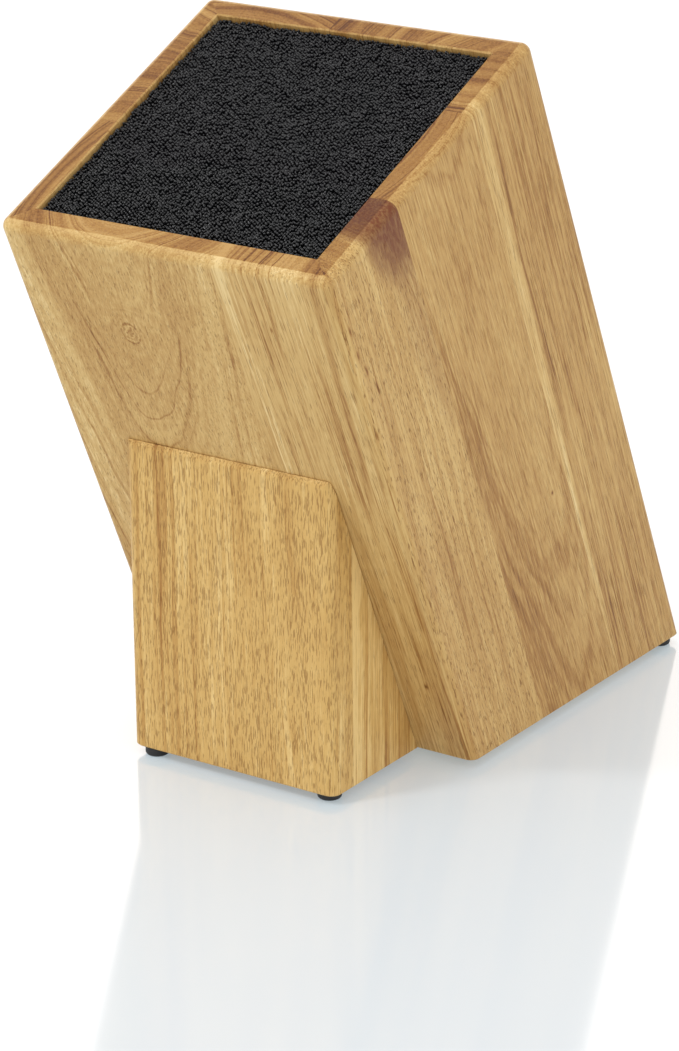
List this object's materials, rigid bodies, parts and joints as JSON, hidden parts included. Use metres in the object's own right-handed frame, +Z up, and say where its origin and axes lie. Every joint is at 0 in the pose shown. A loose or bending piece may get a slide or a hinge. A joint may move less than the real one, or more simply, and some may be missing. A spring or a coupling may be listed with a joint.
{
  "type": "knife block",
  "caption": "Leaning square wooden knife block on a wedge, with rubber feet and a lift-out pack of thin black plastic rods that takes any blade.",
  "frame": {"origin": "on the table, at the middle of the block's whole box seen from above", "axes": "+Z up, +X across the block to the user's right, -Y towards the user, the way the block leans"},
  "size_m": [0.143, 0.2486, 0.2705],
  "materials": {
    "panel_wood": "satin oiled hardwood, edge-glued staves",
    "wedge_wood": "satin oiled hardwood, upright grain",
    "inner_wood": "plain sanded hardwood",
    "foot_rubber": "matt black rubber",
    "rod_plastic": "black plastic rods with a slight sheen"
  },
  "bodies": {
    "block": {"front_stave_1": "panel_wood", "front_stave_2": "panel_wood", "right_stave_1": "panel_wood", "right_stave_2": "panel_wood", "right_stave_3": "panel_wood", "back_stave_1": "panel_wood", "back_stave_2": "panel_wood", "back_stave_3": "panel_wood", "left_stave_1": "panel_wood", "left_stave_2": "panel_wood", "left_stave_3": "panel_wood", "floor_board": "inner_wood", "wedge_board_front": "wedge_wood", "wedge_board_middle": "wedge_wood", "wedge_board_rear": "wedge_wood", "wedge_dowels": "inner_wood", "foot_front_left": "foot_rubber", "foot_front_right": "foot_rubber", "foot_back_left": "foot_rubber", "foot_back_right": "foot_rubber"},
    "rod_pack": {"rod_base": "rod_plastic", "rod_row_01": "rod_plastic", "rod_row_02": "rod_plastic", "rod_row_03": "rod_plastic", "rod_row_04": "rod_plastic", "rod_row_05": "rod_plastic", "rod_row_06": "rod_plastic", "rod_row_07": "rod_plastic", "rod_row_08": "rod_plastic", "rod_row_09": "rod_plastic", "rod_row_10": "rod_plastic", "rod_row_11": "rod_plastic", "rod_row_12": "rod_plastic"}
  },
  "joints": [
    {"name": "rod_pack_lift", "type": "slide", "parent": "block", "child": "rod_pack", "axis": [0, -0.4067, 0.9135], "range_m": [0, 0.22]}
  ]
}
